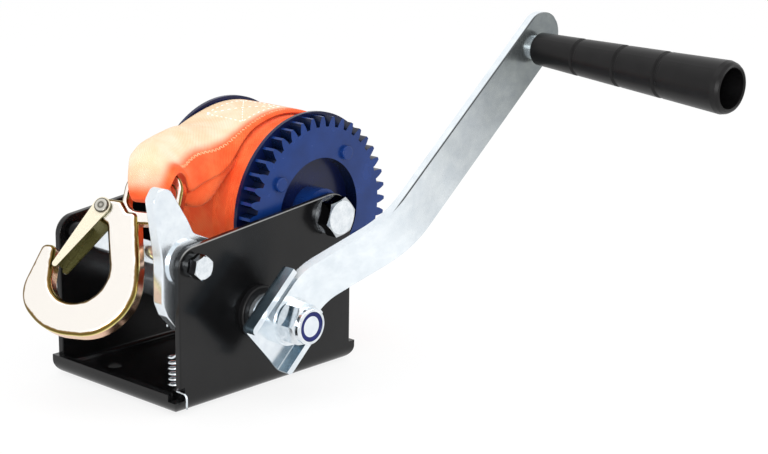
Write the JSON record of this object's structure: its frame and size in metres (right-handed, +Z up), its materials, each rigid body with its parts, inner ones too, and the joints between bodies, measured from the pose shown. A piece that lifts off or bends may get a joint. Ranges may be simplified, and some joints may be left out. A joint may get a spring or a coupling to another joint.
{
  "type": "hand winch",
  "caption": "Hand crank strap winch: bent steel frame, geared drum wound with a wide strap, reversible pawl, bent crank with a turning grip and a latched hook.",
  "frame": {"origin": "centre of the four mounting holes, on the underside of the base", "axes": "+Z up out of the base, -X the way the strap and hook leave, -Y the crank side"},
  "size_m": [0.2998, 0.3463, 0.2191],
  "materials": {
    "black_powder_coat": "gloss black powder coat",
    "blue_paint": "gloss dark blue paint",
    "orange_webbing": "woven polyester webbing",
    "bright_zinc": "bright zinc plate",
    "yellow_zinc": "yellow zinc plate on forged steel",
    "pale_zinc": "pale yellow zinc plate",
    "black_nylon": "moulded black nylon",
    "blue_nylon": "dark blue nylon insert",
    "black_grip": "moulded black plastic"
  },
  "bodies": {
    "frame": {"frame": "black_powder_coat", "drum_axle_bolt": "bright_zinc", "drum_axle_washers": "bright_zinc", "drum_axle_sleeve": "bright_zinc", "drum_axle_nut": "bright_zinc", "pawl_bush": "bright_zinc", "tie_tube": "bright_zinc", "tie_bolt": "bright_zinc", "tie_washer": "bright_zinc", "pawl_spring": "bright_zinc", "shaft_bush_near": "black_nylon", "shaft_bush_far": "black_nylon", "strap_end": "orange_webbing"},
    "drum": {"drum_hub": "blue_paint", "drum_flange_near": "blue_paint", "drum_flange_far": "blue_paint", "drum_gear": "blue_paint", "gear_rivets": "blue_paint", "strap_core": "orange_webbing", "strap_outer_turn": "orange_webbing"},
    "crank": {"pinion_shaft": "bright_zinc", "pinion": "bright_zinc", "shaft_collar": "bright_zinc", "shaft_clip": "bright_zinc", "crank_channel": "bright_zinc", "crank_arm": "bright_zinc", "crank_washer": "bright_zinc", "crank_nut": "bright_zinc", "crank_nut_ring": "blue_nylon", "grip_bolt": "bright_zinc", "grip_nut": "bright_zinc", "grip_washer": "bright_zinc"},
    "grip": {"grip": "black_grip"},
    "pawl": {"pawl": "bright_zinc"},
    "hook": {"hook": "yellow_zinc", "latch_rivet": "pale_zinc"},
    "latch": {"hook_latch": "pale_zinc"}
  },
  "joints": [
    {"name": "drum_spin", "type": "hinge", "parent": "frame", "child": "drum", "pos_m": [0.0492, 0, 0.098], "axis": [0, 1, 0], "continuous": true},
    {"name": "crank_spin", "type": "hinge", "parent": "frame", "child": "crank", "pos_m": [-0.01077, 0, 0.0497], "axis": [0, 1, 0], "continuous": true},
    {"name": "grip_spin", "type": "hinge", "parent": "crank", "child": "grip", "pos_m": [0.15399, -0.12627, 0.19805], "axis": [-0.0441, -0.9982, -0.0397], "continuous": true},
    {"name": "pawl_rock", "type": "hinge", "parent": "frame", "child": "pawl", "pos_m": [-0.0615, 0, 0.0878], "axis": [0, 1, 0], "range_deg": [-7, 7], "stiffness_Nm_per_rad": 0.5, "deforming": ["pawl_spring"]},
    {"name": "hook_swing", "type": "hinge", "parent": "frame", "child": "hook", "pos_m": [-0.05214, -0.01607, 0.12983], "axis": [-0.4384, 0.8988, 0], "range_deg": [0, 60]},
    {"name": "latch_open", "type": "hinge", "parent": "hook", "child": "latch", "pos_m": [-0.07443, 0.00377, 0.11168], "axis": [-0.7622, -0.3718, 0.5299], "range_deg": [0, 40], "stiffness_Nm_per_rad": 0.05, "springref_deg": -17.19}
  ],
  "couplings": [
    {"joint": "crank_spin", "follows": "drum_spin", "ratio": -2.7333}
  ]
}
